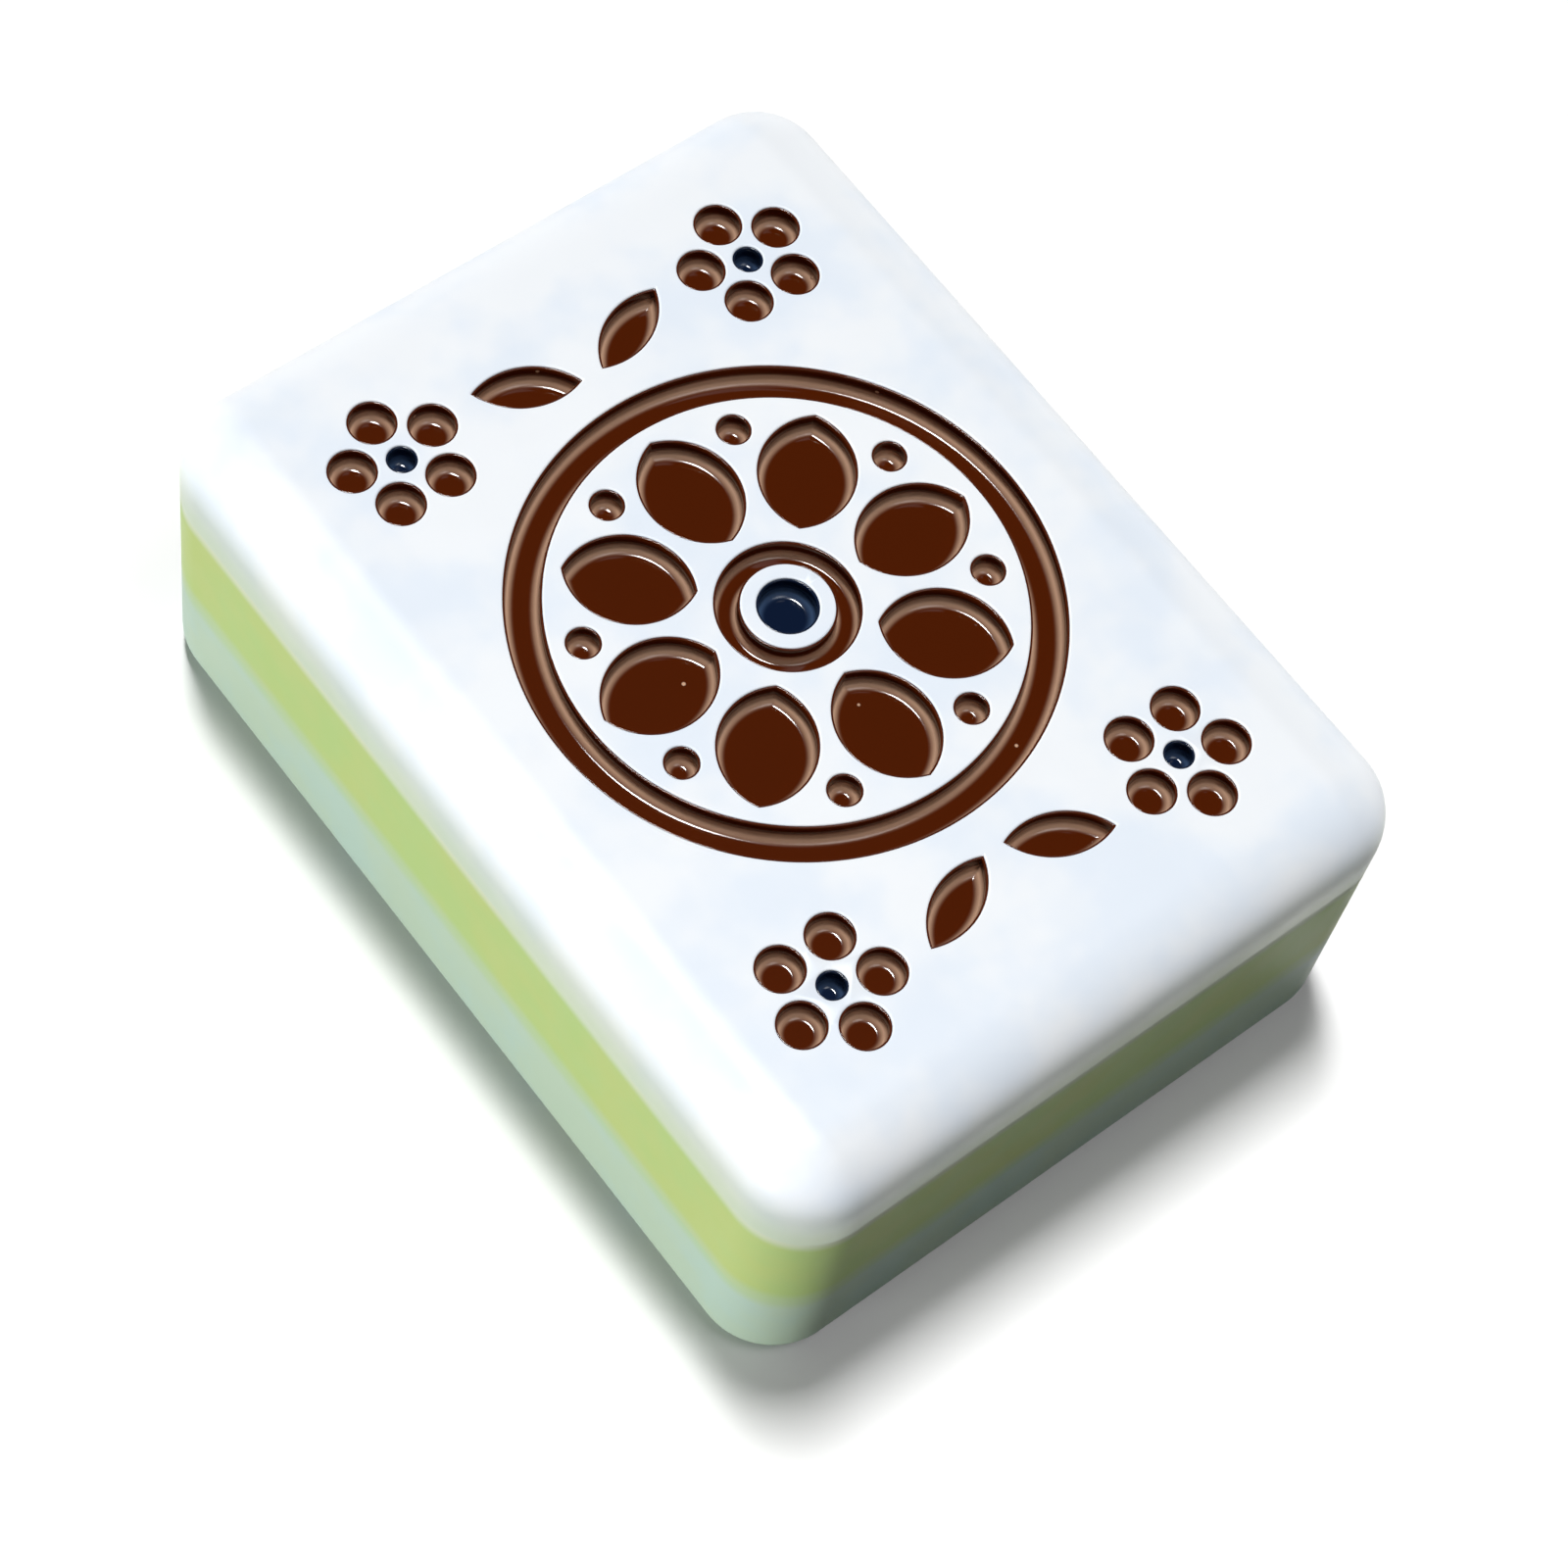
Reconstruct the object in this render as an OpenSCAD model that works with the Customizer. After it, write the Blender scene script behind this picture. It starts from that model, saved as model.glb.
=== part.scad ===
// Mahjong tile: three bonded layers, with a medallion, blossoms and leaves cut into the face
// and filled with paint. Millimetres. The origin is the middle of the back, +Y runs up the
// design and +Z points out of the face.

/* [Tile] */
// Length of the tile, up the design
tile_l = 30; // [26:0.5:40]
// Width of the tile
tile_w = 22.4; // [20:0.2:32]
// Radius of the four upright corners
corner_r = 2.3; // [1.5:0.1:4]
// Radius of the rounded edge round the face
face_edge_r = 2; // [0.8:0.1:3]
// Radius of the rounded edge round the back
back_edge_r = 1; // [0.4:0.1:2]

/* [Layers] */
// Thickness of the mint back layer
back_t = 4.3; // [2:0.1:8]
// Thickness of the lime middle layer
middle_t = 4.3; // [1:0.1:6]
// Thickness of the white face layer
face_t = 3; // [1.5:0.1:6]

/* [Engraving] */
// Depth of every recess below the face
engrave_depth = 0.8; // [0.4:0.05:1.2]

/* [Medallion] */
// Outer radius of the ring round the medallion
medallion_r = 7.95; // [7.2:0.05:8.3]
// Width of the ring round the medallion
ring_w = 1.1; // [0.6:0.05:1.4]
// Width of the uncut ridges between the medallion's recesses
ridge_w = 0.45; // [0.3:0.05:0.7]
// Number of petals
petal_n = 8; // [8:1:14]
// Outer radius of the hub's ring
hub_r = 2.1; // [1.8:0.05:2.6]
// Width of the hub's ring
hub_ring_w = 0.75; // [0.5:0.05:0.9]

/* [Blossoms and leaves] */
// Distance between the middles of the two blossoms in a row
blossom_spread = 12.3; // [11:0.1:13]
// Number of round petals on a blossom
blossom_petal_n = 5; // [4:1:6]
// Radius of a blossom's round petal
blossom_petal_r = 0.72; // [0.5:0.01:0.8]
// Radius of the dot in the middle of a blossom
blossom_dot_r = 0.45; // [0.35:0.01:0.6]
// Width of the uncut ridges between a blossom's recesses
blossom_ridge_w = 0.26; // [0.2:0.02:0.5]
// Width of a leaf at its middle
leaf_w = 1.4; // [0.9:0.05:1.6]
// Lean of a leaf from the row it stands in
leaf_lean = 25; // [10:1:35]
// Gap between the two leaves of a pair, and between a leaf and its blossom
leaf_gap = 0.7; // [0.4:0.05:1]
// Gap between the leaves and the medallion
medallion_gap = 0.5; // [0.3:0.1:1.5]

/* [Paint] */
// Thickness of the paint on the floor of a recess
paint_floor_t = 0.12; // [0.06:0.01:0.2]
// Thickness of the paint on the walls of a recess
paint_wall_t = 0.06; // [0.04:0.01:0.1]
// Height and width of the bank that the paint forms at the foot of a wall
paint_bank = 0.25; // [0.12:0.01:0.3]
// Height of the bare wall between the paint and the face
paint_lip = 0.05; // [0.02:0.01:0.12]

/* [Hidden] */
$fn = 180;

// Heights up the tile
tile_t = back_t + middle_t + face_t;
floor_z = tile_t - engrave_depth;
// How far a cutting shape runs past the face
overcut = 1;

// The upright corners stay rounder than the edges that run round them, by at least this
corner_step = 0.2;
face_fillet = min(face_edge_r, corner_r - corner_step);
back_fillet = min(back_edge_r, corner_r - corner_step);
corner_x = tile_w / 2 - corner_r;
corner_y = tile_l / 2 - corner_r;

// A blossom: its petals clear its dot and each other by a ridge
blossom_petal_x = max(blossom_dot_r + blossom_ridge_w + blossom_petal_r,
                      (blossom_petal_r + blossom_ridge_w / 2) / sin(180 / blossom_petal_n));
blossom_r = blossom_petal_x + blossom_petal_r;
blossom_x = blossom_spread / 2;

// A pair of leaves fills the row between two blossoms, and the row clears the medallion
leaf_run = blossom_x - blossom_r - 1.5 * leaf_gap;
leaf_l = leaf_run / cos(leaf_lean);
leaf_x = (leaf_gap + leaf_run) / 2;
leaf_half_h = (leaf_l * sin(leaf_lean) + leaf_w) / 2;
row_y = medallion_r + medallion_gap + leaf_half_h;

// The medallion's petals fill the space between its ring and its hub
petal_out_r = medallion_r - ring_w - ridge_w;
petal_in_r = hub_r + ridge_w;
petal_x = (petal_out_r + petal_in_r) / 2;
petal_half_l = (petal_out_r - petal_in_r) / 2;
petal_half_w = petal_half_width(180 / petal_n);
dot_r = hub_r - hub_ring_w - ridge_w;

// A bead touches the same ridges as the two petals beside it and the ring outside it
petal_arc_r = lens_r(petal_half_l, petal_half_w);
bead_r = bead_radius(180 / petal_n);

// Radius of the two arcs that bound a lens of this half length and half width
function lens_r(half_l, half_w) = (half_l * half_l + half_w * half_w) / (2 * half_w);

// Half width at which a petal comes within half a ridge of its sector's edge, at this half angle
function petal_half_width(angle) =
    let (room = petal_x * sin(angle) - ridge_w / 2,
         reach = petal_half_l * sin(angle))
    (room + sqrt(room * room - reach * reach)) / (1 + cos(angle));

// Radius of a circle on the sector's edge, inside the ring's ridge and a ridge away from the petal's arc
function bead_radius(angle) =
    let (arc_y = petal_arc_r - petal_half_w,
         along = petal_x * cos(angle) - arc_y * sin(angle),
         run = petal_out_r - along,
         aside = petal_arc_r + ridge_w / 2,
         apart = petal_arc_r + ridge_w)
    (run * run + aside * aside - apart * apart) / (2 * (run + apart));

// The paint's bank is limited by the room in its recess, from the wall to the middle
function bank(room) = min(paint_bank, (room - paint_wall_t) / 2);

// Copies of a piece in all four quarters of the tile
module in_quarters() {
    for (flip_x = [0, 1], flip_y = [0, 1])
        mirror([flip_x, 0, 0]) mirror([0, flip_y, 0]) children();
}

// Copies of a piece round a circle of this radius, the first at this angle
module around(n, r, first = 0) {
    for (i = [0 : n - 1])
        rotate(first + i * 360 / n) translate([r, 0, 0]) children();
}

// The waste outside an edge of radius r, whose sharp corner is at the origin
module edge_waste(r) {
    difference() {
        translate([-r, -r]) square(2 * r);
        translate([-r, -r]) circle(r);
    }
}

// Section across a tile of this width, with its face and back edges rounded
module section(w) {
    difference() {
        translate([-w / 2, 0]) square([w, tile_t]);
        for (flip = [0, 1]) mirror([flip, 0]) {
            translate([w / 2, tile_t]) edge_waste(face_fillet);
            translate([w / 2, 0]) mirror([0, 1]) edge_waste(back_fillet);
        }
    }
}

// The whole tile before it is divided into layers: two bars that cross, and a turned quarter in each corner
module blank() {
    rotate([90, 0, 0]) linear_extrude(2 * corner_y, center = true) section(tile_w);
    rotate([90, 0, 90]) linear_extrude(2 * corner_x, center = true) section(tile_l);
    in_quarters() translate([corner_x, corner_y, 0]) rotate_extrude(angle = 90)
        intersection() {
            section(2 * corner_r);
            square([corner_r, tile_t]);
        }
}

// The slice of the blank between two heights
module layer(bottom, thickness) {
    intersection() {
        blank();
        translate([-tile_w, -tile_l, bottom]) cube([2 * tile_w, 2 * tile_l, thickness]);
    }
}

// A pointed oval along X
module lens(half_l, half_w) {
    r = lens_r(half_l, half_w);
    intersection() {
        translate([0, half_w - r]) circle(r);
        translate([0, r - half_w]) circle(r);
    }
}

module ring(outer, width) {
    difference() {
        circle(outer);
        circle(outer - width);
    }
}

// Outlines of the recesses
module outer_ring_outline() ring(medallion_r, ring_w);
module petal_outline() around(petal_n, petal_x, 90) lens(petal_half_l, petal_half_w);
module bead_outline() around(petal_n, petal_out_r - bead_r, 90 + 180 / petal_n) circle(bead_r);
module hub_ring_outline() ring(hub_r, hub_ring_w);
module centre_dot_outline() circle(dot_r);
module blossom_outline() in_blossoms() around(blossom_petal_n, blossom_petal_x, 90) circle(blossom_petal_r);
module blossom_dot_outline() in_blossoms() circle(blossom_dot_r);
module leaf_outline() in_leaves() lens(leaf_l / 2, leaf_w / 2);

module in_blossoms() in_quarters() translate([blossom_x, row_y, 0]) children();
module in_leaves() in_quarters() translate([leaf_x, row_y, 0]) rotate(leaf_lean) children();

// The space left above the paint in a round pit: a bank at the foot of the wall, then a flat floor
module round_hollow(r, room) {
    wall = r - paint_wall_t;
    foot = bank(room);
    top = engrave_depth + overcut;
    rotate_extrude()
        polygon([[0, paint_floor_t], [wall - foot, paint_floor_t], [wall, paint_floor_t + foot],
                 [wall, top], [0, top]]);
}

module lens_hollow(half_l, half_w) {
    r = lens_r(half_l, half_w);
    intersection() {
        translate([0, half_w - r, 0]) round_hollow(r, half_w);
        translate([0, r - half_w, 0]) round_hollow(r, half_w);
    }
}

module ring_hollow(outer, width) {
    wall = outer - paint_wall_t;
    inner_wall = outer - width + paint_wall_t;
    foot = bank(width / 2);
    top = engrave_depth + overcut;
    rotate_extrude()
        polygon([[inner_wall + foot, paint_floor_t], [wall - foot, paint_floor_t],
                 [wall, paint_floor_t + foot], [wall, top], [inner_wall, top],
                 [inner_wall, paint_floor_t + foot]]);
}

// The space of the recesses that its children outline, out past the face
module recess() {
    translate([0, 0, floor_z]) linear_extrude(engrave_depth + overcut) children();
}

// Paint that lines a recess up to a lip below the face: the first child is the recess's outline, the second
// the space left above the paint
module pool() {
    difference() {
        intersection() {
            recess() children(0);
            translate([0, 0, -paint_lip]) blank();
        }
        translate([0, 0, floor_z]) children(1);
    }
}

// The layers
module face_layer() color("#f3f6f8") difference() {
    layer(back_t + middle_t, face_t);
    recess() outer_ring_outline();
    recess() petal_outline();
    recess() bead_outline();
    recess() hub_ring_outline();
    recess() centre_dot_outline();
    recess() blossom_outline();
    recess() blossom_dot_outline();
    recess() leaf_outline();
}

module middle_layer() color("#b1ca7b") layer(back_t, middle_t);
module back_layer() color("#b4ccb5") layer(0, back_t);

// The paint
module outer_ring_paint() color("#4a1c08") pool() {
    outer_ring_outline();
    ring_hollow(medallion_r, ring_w);
}

module petal_paint() color("#4a1c08") pool() {
    petal_outline();
    around(petal_n, petal_x, 90) lens_hollow(petal_half_l, petal_half_w);
}

module bead_paint() color("#4a1c08") pool() {
    bead_outline();
    around(petal_n, petal_out_r - bead_r, 90 + 180 / petal_n) round_hollow(bead_r, bead_r);
}

module hub_ring_paint() color("#4a1c08") pool() {
    hub_ring_outline();
    ring_hollow(hub_r, hub_ring_w);
}

module centre_dot_paint() color("#0b1830") pool() {
    centre_dot_outline();
    round_hollow(dot_r, dot_r);
}

module blossom_paint() color("#4a1c08") pool() {
    blossom_outline();
    in_blossoms() around(blossom_petal_n, blossom_petal_x, 90) round_hollow(blossom_petal_r, blossom_petal_r);
}

module blossom_dot_paint() color("#0b1830") pool() {
    blossom_dot_outline();
    in_blossoms() round_hollow(blossom_dot_r, blossom_dot_r);
}

module leaf_paint() color("#4a1c08") pool() {
    leaf_outline();
    in_leaves() lens_hollow(leaf_l / 2, leaf_w / 2);
}

face_layer();
middle_layer();
back_layer();
outer_ring_paint();
petal_paint();
bead_paint();
hub_ring_paint();
centre_dot_paint();
blossom_paint();
blossom_dot_paint();
leaf_paint();
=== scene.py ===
"""Mahjong tile: the looks of a rounded tile of three bonded layers, with a painted engraving in its face.

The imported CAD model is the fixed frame. Each layer and each set of paint pools is modelled anew in its
place, with softened rims, paint that banks up the walls, and resin and enamel finishes.
"""

import math

import bmesh
import bpy
from bpy.props import FloatProperty, FloatVectorProperty, IntProperty, PointerProperty
from mathutils import Matrix, Vector


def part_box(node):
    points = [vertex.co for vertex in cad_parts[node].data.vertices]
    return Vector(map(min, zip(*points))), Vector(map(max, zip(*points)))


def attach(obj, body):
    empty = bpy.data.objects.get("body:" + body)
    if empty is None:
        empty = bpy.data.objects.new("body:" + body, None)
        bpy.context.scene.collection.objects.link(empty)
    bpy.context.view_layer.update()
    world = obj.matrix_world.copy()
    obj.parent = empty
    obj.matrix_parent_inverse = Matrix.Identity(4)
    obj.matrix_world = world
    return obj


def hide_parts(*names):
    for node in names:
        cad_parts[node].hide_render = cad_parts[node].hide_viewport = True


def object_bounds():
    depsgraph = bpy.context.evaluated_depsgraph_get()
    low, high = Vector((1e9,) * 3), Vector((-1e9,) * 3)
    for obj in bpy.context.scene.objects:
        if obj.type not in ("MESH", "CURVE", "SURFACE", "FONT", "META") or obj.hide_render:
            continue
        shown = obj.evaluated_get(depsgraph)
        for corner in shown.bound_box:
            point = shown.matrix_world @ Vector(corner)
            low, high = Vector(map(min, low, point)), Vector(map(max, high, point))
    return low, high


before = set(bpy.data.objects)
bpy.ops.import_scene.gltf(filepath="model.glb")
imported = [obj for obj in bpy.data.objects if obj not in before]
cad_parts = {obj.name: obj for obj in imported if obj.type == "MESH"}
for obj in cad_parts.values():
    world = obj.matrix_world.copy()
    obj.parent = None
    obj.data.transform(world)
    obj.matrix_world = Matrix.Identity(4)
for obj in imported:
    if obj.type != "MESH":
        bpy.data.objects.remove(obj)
cad_low, cad_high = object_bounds()

bl_info = {
    "name": "Mahjong tile",
    "version": (1, 0, 0),
    "blender": (4, 5, 0),
    "location": "View3D > Sidebar > Tile",
    "description": "Models a layered mahjong tile with a painted engraving, and a stage to show it on",
    "category": "Mesh",
}

MM = 0.001

# Heights that the frame gives, in metres
BACK_SEAM_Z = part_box("middle_layer")[0].z
FACE_SEAM_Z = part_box("middle_layer")[1].z
FACE_Z = cad_high.z
RECESS_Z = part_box("outer_ring_paint")[0].z
PAINT_TOP_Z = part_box("outer_ring_paint")[1].z

# Two points closer than this are one point
SAME = 0.0005 * MM

# Steps round the recesses, along the rims and along the banks of paint
DOT_STEPS = 72
HUB_STEPS = 120
LENS_STEPS = 160
RING_STEPS = 180
RIM_STEPS = 4
BANK_STEPS = 10

# Steps of the block's corners and edges, and their profiles: an arc, and one that eases into the flats
EDGE_STEPS = 28
BACK_EDGE_STEPS = 14
ARC_PROFILE = 0.5
EASED_PROFILE = 0.56

# How far the next layer's colour shows through from a seam, upwards or, where negative, downwards
LIME_IN_WHITE = 2.4 * MM
WHITE_IN_LIME = -0.6 * MM
MINT_IN_LIME = 0.7 * MM
LIME_IN_MINT = -0.7 * MM


def linear(hex_colour):
    """An sRGB hex colour as linear red, green and blue."""
    channels = [int(hex_colour[i:i + 2], 16) / 255 for i in (1, 3, 5)]
    return tuple(c / 12.92 if c <= 0.04045 else ((c + 0.055) / 1.055) ** 2.4 for c in channels)


class TileSizes(bpy.types.PropertyGroup):
    """Sizes of the block and of the engraving's recesses"""

    corner_r: FloatProperty(
        name="Corner", description="Radius of the four upright corners",
        default=2.3 * MM, min=0, unit="LENGTH")
    face_edge_r: FloatProperty(
        name="Face edge", description="Reach of the polished edge round the face, which eases in and out",
        default=2.25 * MM, min=0, unit="LENGTH")
    back_edge_r: FloatProperty(
        name="Back edge", description="Radius of the rounded edge round the back",
        default=1 * MM, min=0, unit="LENGTH")
    rim_r: FloatProperty(
        name="Rim", description="Radius to which polishing has worn the rims of the recesses",
        default=0.06 * MM, min=0, unit="LENGTH")


class DesignSizes(bpy.types.PropertyGroup):
    """Sizes of the medallion, the blossoms and the leaves"""

    medallion_r: FloatProperty(
        name="Medallion", description="Outer radius of the ring round the medallion",
        default=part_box("outer_ring_paint")[1].x, min=0, unit="LENGTH")
    ring_w: FloatProperty(
        name="Ring width", description="Width of the ring round the medallion",
        default=1.1 * MM, min=0, unit="LENGTH")
    ridge_w: FloatProperty(
        name="Ridges", description="Width of the uncut ridges between the medallion's recesses",
        default=0.45 * MM, min=0, unit="LENGTH")
    petal_n: IntProperty(
        name="Petals", description="Number of petals in the medallion", default=8, min=3)
    hub_r: FloatProperty(
        name="Hub", description="Outer radius of the hub's ring",
        default=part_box("hub_ring_paint")[1].x, min=0, unit="LENGTH")
    hub_ring_w: FloatProperty(
        name="Hub ring width", description="Width of the hub's ring",
        default=0.75 * MM, min=0, unit="LENGTH")
    dot_r: FloatProperty(
        name="Centre dot", description="Radius of the dot in the hub",
        default=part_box("centre_dot_paint")[1].x, min=0, unit="LENGTH")
    blossom_spread: FloatProperty(
        name="Blossom spread", description="Distance between the middles of two blossoms in a row",
        default=12.3 * MM, min=0, unit="LENGTH")
    blossom_petal_n: IntProperty(
        name="Blossom petals", description="Number of round petals on a blossom", default=5, min=3)
    blossom_petal_r: FloatProperty(
        name="Blossom petal", description="Radius of a blossom's round petal",
        default=0.72 * MM, min=0, unit="LENGTH")
    blossom_dot_r: FloatProperty(
        name="Blossom dot", description="Radius of the dot in the middle of a blossom",
        default=0.45 * MM, min=0, unit="LENGTH")
    blossom_ridge_w: FloatProperty(
        name="Blossom ridges", description="Width of the uncut ridges between a blossom's recesses",
        default=0.26 * MM, min=0, unit="LENGTH")
    leaf_w: FloatProperty(
        name="Leaf width", description="Width of a leaf at its middle",
        default=1.4 * MM, min=0, unit="LENGTH")
    leaf_lean: FloatProperty(
        name="Leaf lean", description="Lean of a leaf from the row it stands in",
        default=math.radians(25), subtype="ANGLE")
    leaf_gap: FloatProperty(
        name="Leaf gap", description="Gap between a leaf and its neighbours in the row",
        default=0.7 * MM, min=0, unit="LENGTH")
    medallion_gap: FloatProperty(
        name="Medallion gap", description="Gap between the leaves and the medallion",
        default=0.5 * MM, min=0, unit="LENGTH")


class PaintSizes(bpy.types.PropertyGroup):
    """Sizes of the paint that lines the recesses"""

    floor_t: FloatProperty(
        name="Floor", description="Thickness of the paint on the floor of a recess",
        default=0.12 * MM, min=0, unit="LENGTH")
    wall_t: FloatProperty(
        name="Wall", description="Thickness of the paint on the walls of a recess",
        default=0.06 * MM, min=0, unit="LENGTH")
    bank: FloatProperty(
        name="Bank", description="Radius of the hollow bank that the paint forms at the foot of a wall",
        default=0.28 * MM, min=0, unit="LENGTH")


class TileColours(bpy.types.PropertyGroup):
    """Colours of the resins and the paints"""

    white: FloatVectorProperty(
        name="White", description="White of the face layer",
        default=linear("#eff2f5"), subtype="COLOR", min=0, max=1)
    cool_white: FloatVectorProperty(
        name="Cool white", description="Bluish white of the clouds in the face layer",
        default=linear("#e5ecf4"), subtype="COLOR", min=0, max=1)
    lime: FloatVectorProperty(
        name="Lime", description="Lime of the middle layer",
        default=linear("#b8d384"), subtype="COLOR", min=0, max=1)
    yellow_lime: FloatVectorProperty(
        name="Yellow lime", description="Yellowish clouds in the middle layer",
        default=linear("#c0d282"), subtype="COLOR", min=0, max=1)
    mint: FloatVectorProperty(
        name="Mint", description="Pale mint of the back layer",
        default=linear("#bfd5bc"), subtype="COLOR", min=0, max=1)
    aqua_mint: FloatVectorProperty(
        name="Aqua mint", description="Bluish clouds in the back layer",
        default=linear("#bbd5c5"), subtype="COLOR", min=0, max=1)
    brown: FloatVectorProperty(
        name="Brown", description="Brown enamel where it lies thick",
        default=linear("#4b1a02"), subtype="COLOR", min=0, max=1)
    # The thin brown is also the colour of a painted highlight along the bank at the foot of each wall
    thin_brown_and_highlight: FloatVectorProperty(
        name="Thin brown", description="Brown enamel where it thins up the bank and the white shows through",
        default=linear("#cda68a"), subtype="COLOR", min=0, max=1)
    navy: FloatVectorProperty(
        name="Navy", description="Navy enamel where it lies thick",
        default=linear("#0b1830"), subtype="COLOR", min=0, max=1)
    # The thin navy is also the colour of a painted highlight along the bank at the foot of each wall
    thin_navy_and_highlight: FloatVectorProperty(
        name="Thin navy", description="Navy enamel where it thins up the bank",
        default=linear("#3d5475"), subtype="COLOR", min=0, max=1)
    floor: FloatVectorProperty(
        name="Floor", description="Pale floor under the tile",
        default=linear("#ffffff"), subtype="COLOR", min=0, max=1)


class StageSettings(bpy.types.PropertyGroup):
    """The camera and the lamps"""

    azimuth: FloatProperty(
        name="Azimuth", description="Bearing of the camera; 0 looks along +Y, and 90 along -X",
        default=math.radians(-50.54), subtype="ANGLE")
    elevation: FloatProperty(
        name="Elevation", description="Height of the camera above the horizon",
        default=math.radians(61.79), subtype="ANGLE")
    roll: FloatProperty(
        name="Roll", description="Turn of the camera about its view line, clockwise",
        default=math.radians(14.36), subtype="ANGLE")
    distance: FloatProperty(
        name="Distance", description="Distance from the camera to the point on the floor that it looks at",
        default=126.19 * MM, min=0, unit="LENGTH")
    aim: FloatVectorProperty(
        name="Aim", description="Point on the floor that the camera looks at",
        default=(1.271 * MM, -0.4 * MM, 0), subtype="XYZ", unit="LENGTH")
    lens: FloatProperty(
        name="Lens", description="Focal length of the camera, in millimetres", default=95.43, min=1)
    key: FloatProperty(
        name="Key", description="Level of the soft box overhead, where 1 shows a colour as it is",
        default=0.88, min=0)
    window: FloatProperty(
        name="Window", description="Level of the low window at the left", default=0.9, min=0)
    glint: FloatProperty(
        name="Glint", description="Level of the front lamp, which fills the shade and glints in the paint",
        default=0.17, min=0)
    room: FloatProperty(
        name="Room", description="Strength of the dim light from all round", default=0.02, min=0)


class TileSettings(bpy.types.PropertyGroup):
    """All that can be set on the tile and its stage"""

    sizes: PointerProperty(type=TileSizes)
    design: PointerProperty(type=DesignSizes)
    paint: PointerProperty(type=PaintSizes)
    colours: PointerProperty(type=TileColours)
    stage: PointerProperty(type=StageSettings)


# Tools for modelling

def new_mesh(name, add, **settings):
    """Adds a primitive with nothing else selected, gives it its name and opens it in edit mode."""
    bpy.ops.object.select_all(action="DESELECT")
    add(**settings)
    piece = bpy.context.object
    piece.name = name
    piece.data.name = name
    bpy.ops.object.transform_apply(location=True, rotation=True, scale=True)
    bpy.ops.object.mode_set(mode="EDIT")
    return piece


def select_edges(test):
    """Selects the edges of the mesh in edit mode whose two ends pass the test."""
    bpy.ops.mesh.select_mode(type="EDGE")
    bpy.ops.mesh.select_all(action="DESELECT")
    mesh = bmesh.from_edit_mesh(bpy.context.object.data)
    for edge in mesh.edges:
        edge.select_set(test(edge.verts[0].co, edge.verts[1].co))
    bmesh.update_edit_mesh(bpy.context.object.data)


def close_mesh():
    """Merges the doubled points in edit mode, turns the faces outwards and goes back to object mode."""
    bpy.ops.mesh.select_all(action="SELECT")
    bpy.ops.mesh.remove_doubles(threshold=SAME)
    bpy.ops.mesh.normals_make_consistent(inside=False)
    bpy.ops.object.mode_set(mode="OBJECT")


def pick(piece):
    """Selects a piece alone, and makes it the active one."""
    bpy.ops.object.select_all(action="DESELECT")
    piece.select_set(True)
    bpy.context.view_layer.objects.active = piece


def apply_modifier(piece, kind, **settings):
    """Adds a modifier with these settings to a piece, and applies it."""
    pick(piece)
    bpy.ops.object.modifier_add(type=kind)
    modifier = piece.modifiers[-1]
    for key, value in settings.items():
        setattr(modifier, key, value)
    bpy.ops.object.modifier_apply(modifier=modifier.name)


def place(piece, x, y, turn=0.0):
    """Turns a piece about the upright axis, moves it across the face, and puts its place in its mesh."""
    pick(piece)
    piece.rotation_euler.z = turn
    piece.location = (x, y, 0)
    bpy.ops.object.transform_apply(location=True, rotation=True, scale=True)


def copy_around(piece, count):
    """Copies a piece's mesh into a ring of this many round the middle of the tile."""
    bpy.ops.object.mode_set(mode="EDIT")
    bpy.ops.mesh.select_all(action="SELECT")
    turn = 2 * math.pi * (count - 1) / count
    bpy.ops.mesh.spin(steps=count - 1, dupli=True, angle=turn, center=(0, 0, 0), axis=(0, 0, 1))
    bpy.ops.object.mode_set(mode="OBJECT")


def copy_to_quarters(piece):
    """Mirrors a piece's mesh into all four quarters of the face."""
    apply_modifier(piece, "MIRROR", use_axis=(True, True, False), use_mirror_merge=False)
    bpy.ops.object.mode_set(mode="EDIT")
    close_mesh()


def join(pieces, name):
    """Joins several meshes into one, under this name."""
    bpy.ops.object.select_all(action="DESELECT")
    for piece in pieces:
        piece.select_set(True)
    bpy.context.view_layer.objects.active = pieces[0]
    bpy.ops.object.join()
    pieces[0].name = name
    pieces[0].data.name = name
    return pieces[0]


def smooth(piece):
    """Shades a piece smooth, with its broad faces kept flat right up to their rounded edges."""
    pick(piece)
    bpy.ops.object.shade_smooth()
    apply_modifier(piece, "WEIGHTED_NORMAL", weight=100, keep_sharp=True)


def arc(centre, radius, start, end, count):
    """Points on an arc in a section, from one angle in degrees to another."""
    angles = [math.radians(start + (end - start) * i / count) for i in range(count + 1)]
    return [(centre[0] + radius * math.cos(a), centre[1] + radius * math.sin(a)) for a in angles]


def turned(name, section, steps, middle_y=0.0):
    """A line of (radius, height) points, turned all the way round an upright axis."""
    piece = new_mesh(name, bpy.ops.mesh.primitive_plane_add, size=MM)
    bpy.ops.mesh.select_mode(type="VERT")
    bpy.ops.mesh.merge(type="CENTER")
    here = Vector()
    for i, (radius, height) in enumerate(section):
        point = Vector((radius, middle_y, height))
        if i == 0:
            bpy.ops.transform.translate(value=point)
        else:
            bpy.ops.mesh.extrude_region_move(TRANSFORM_OT_translate={"value": point - here})
        here = point
    bpy.ops.mesh.select_all(action="SELECT")
    bpy.ops.mesh.spin(
        steps=steps, angle=2 * math.pi, center=(0, middle_y, 0), axis=(0, 0, 1), use_auto_merge=True)
    close_mesh()
    return piece


# Sections of the recesses and of their paint, as (distance in from the wall, height), from the wall's foot

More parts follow.
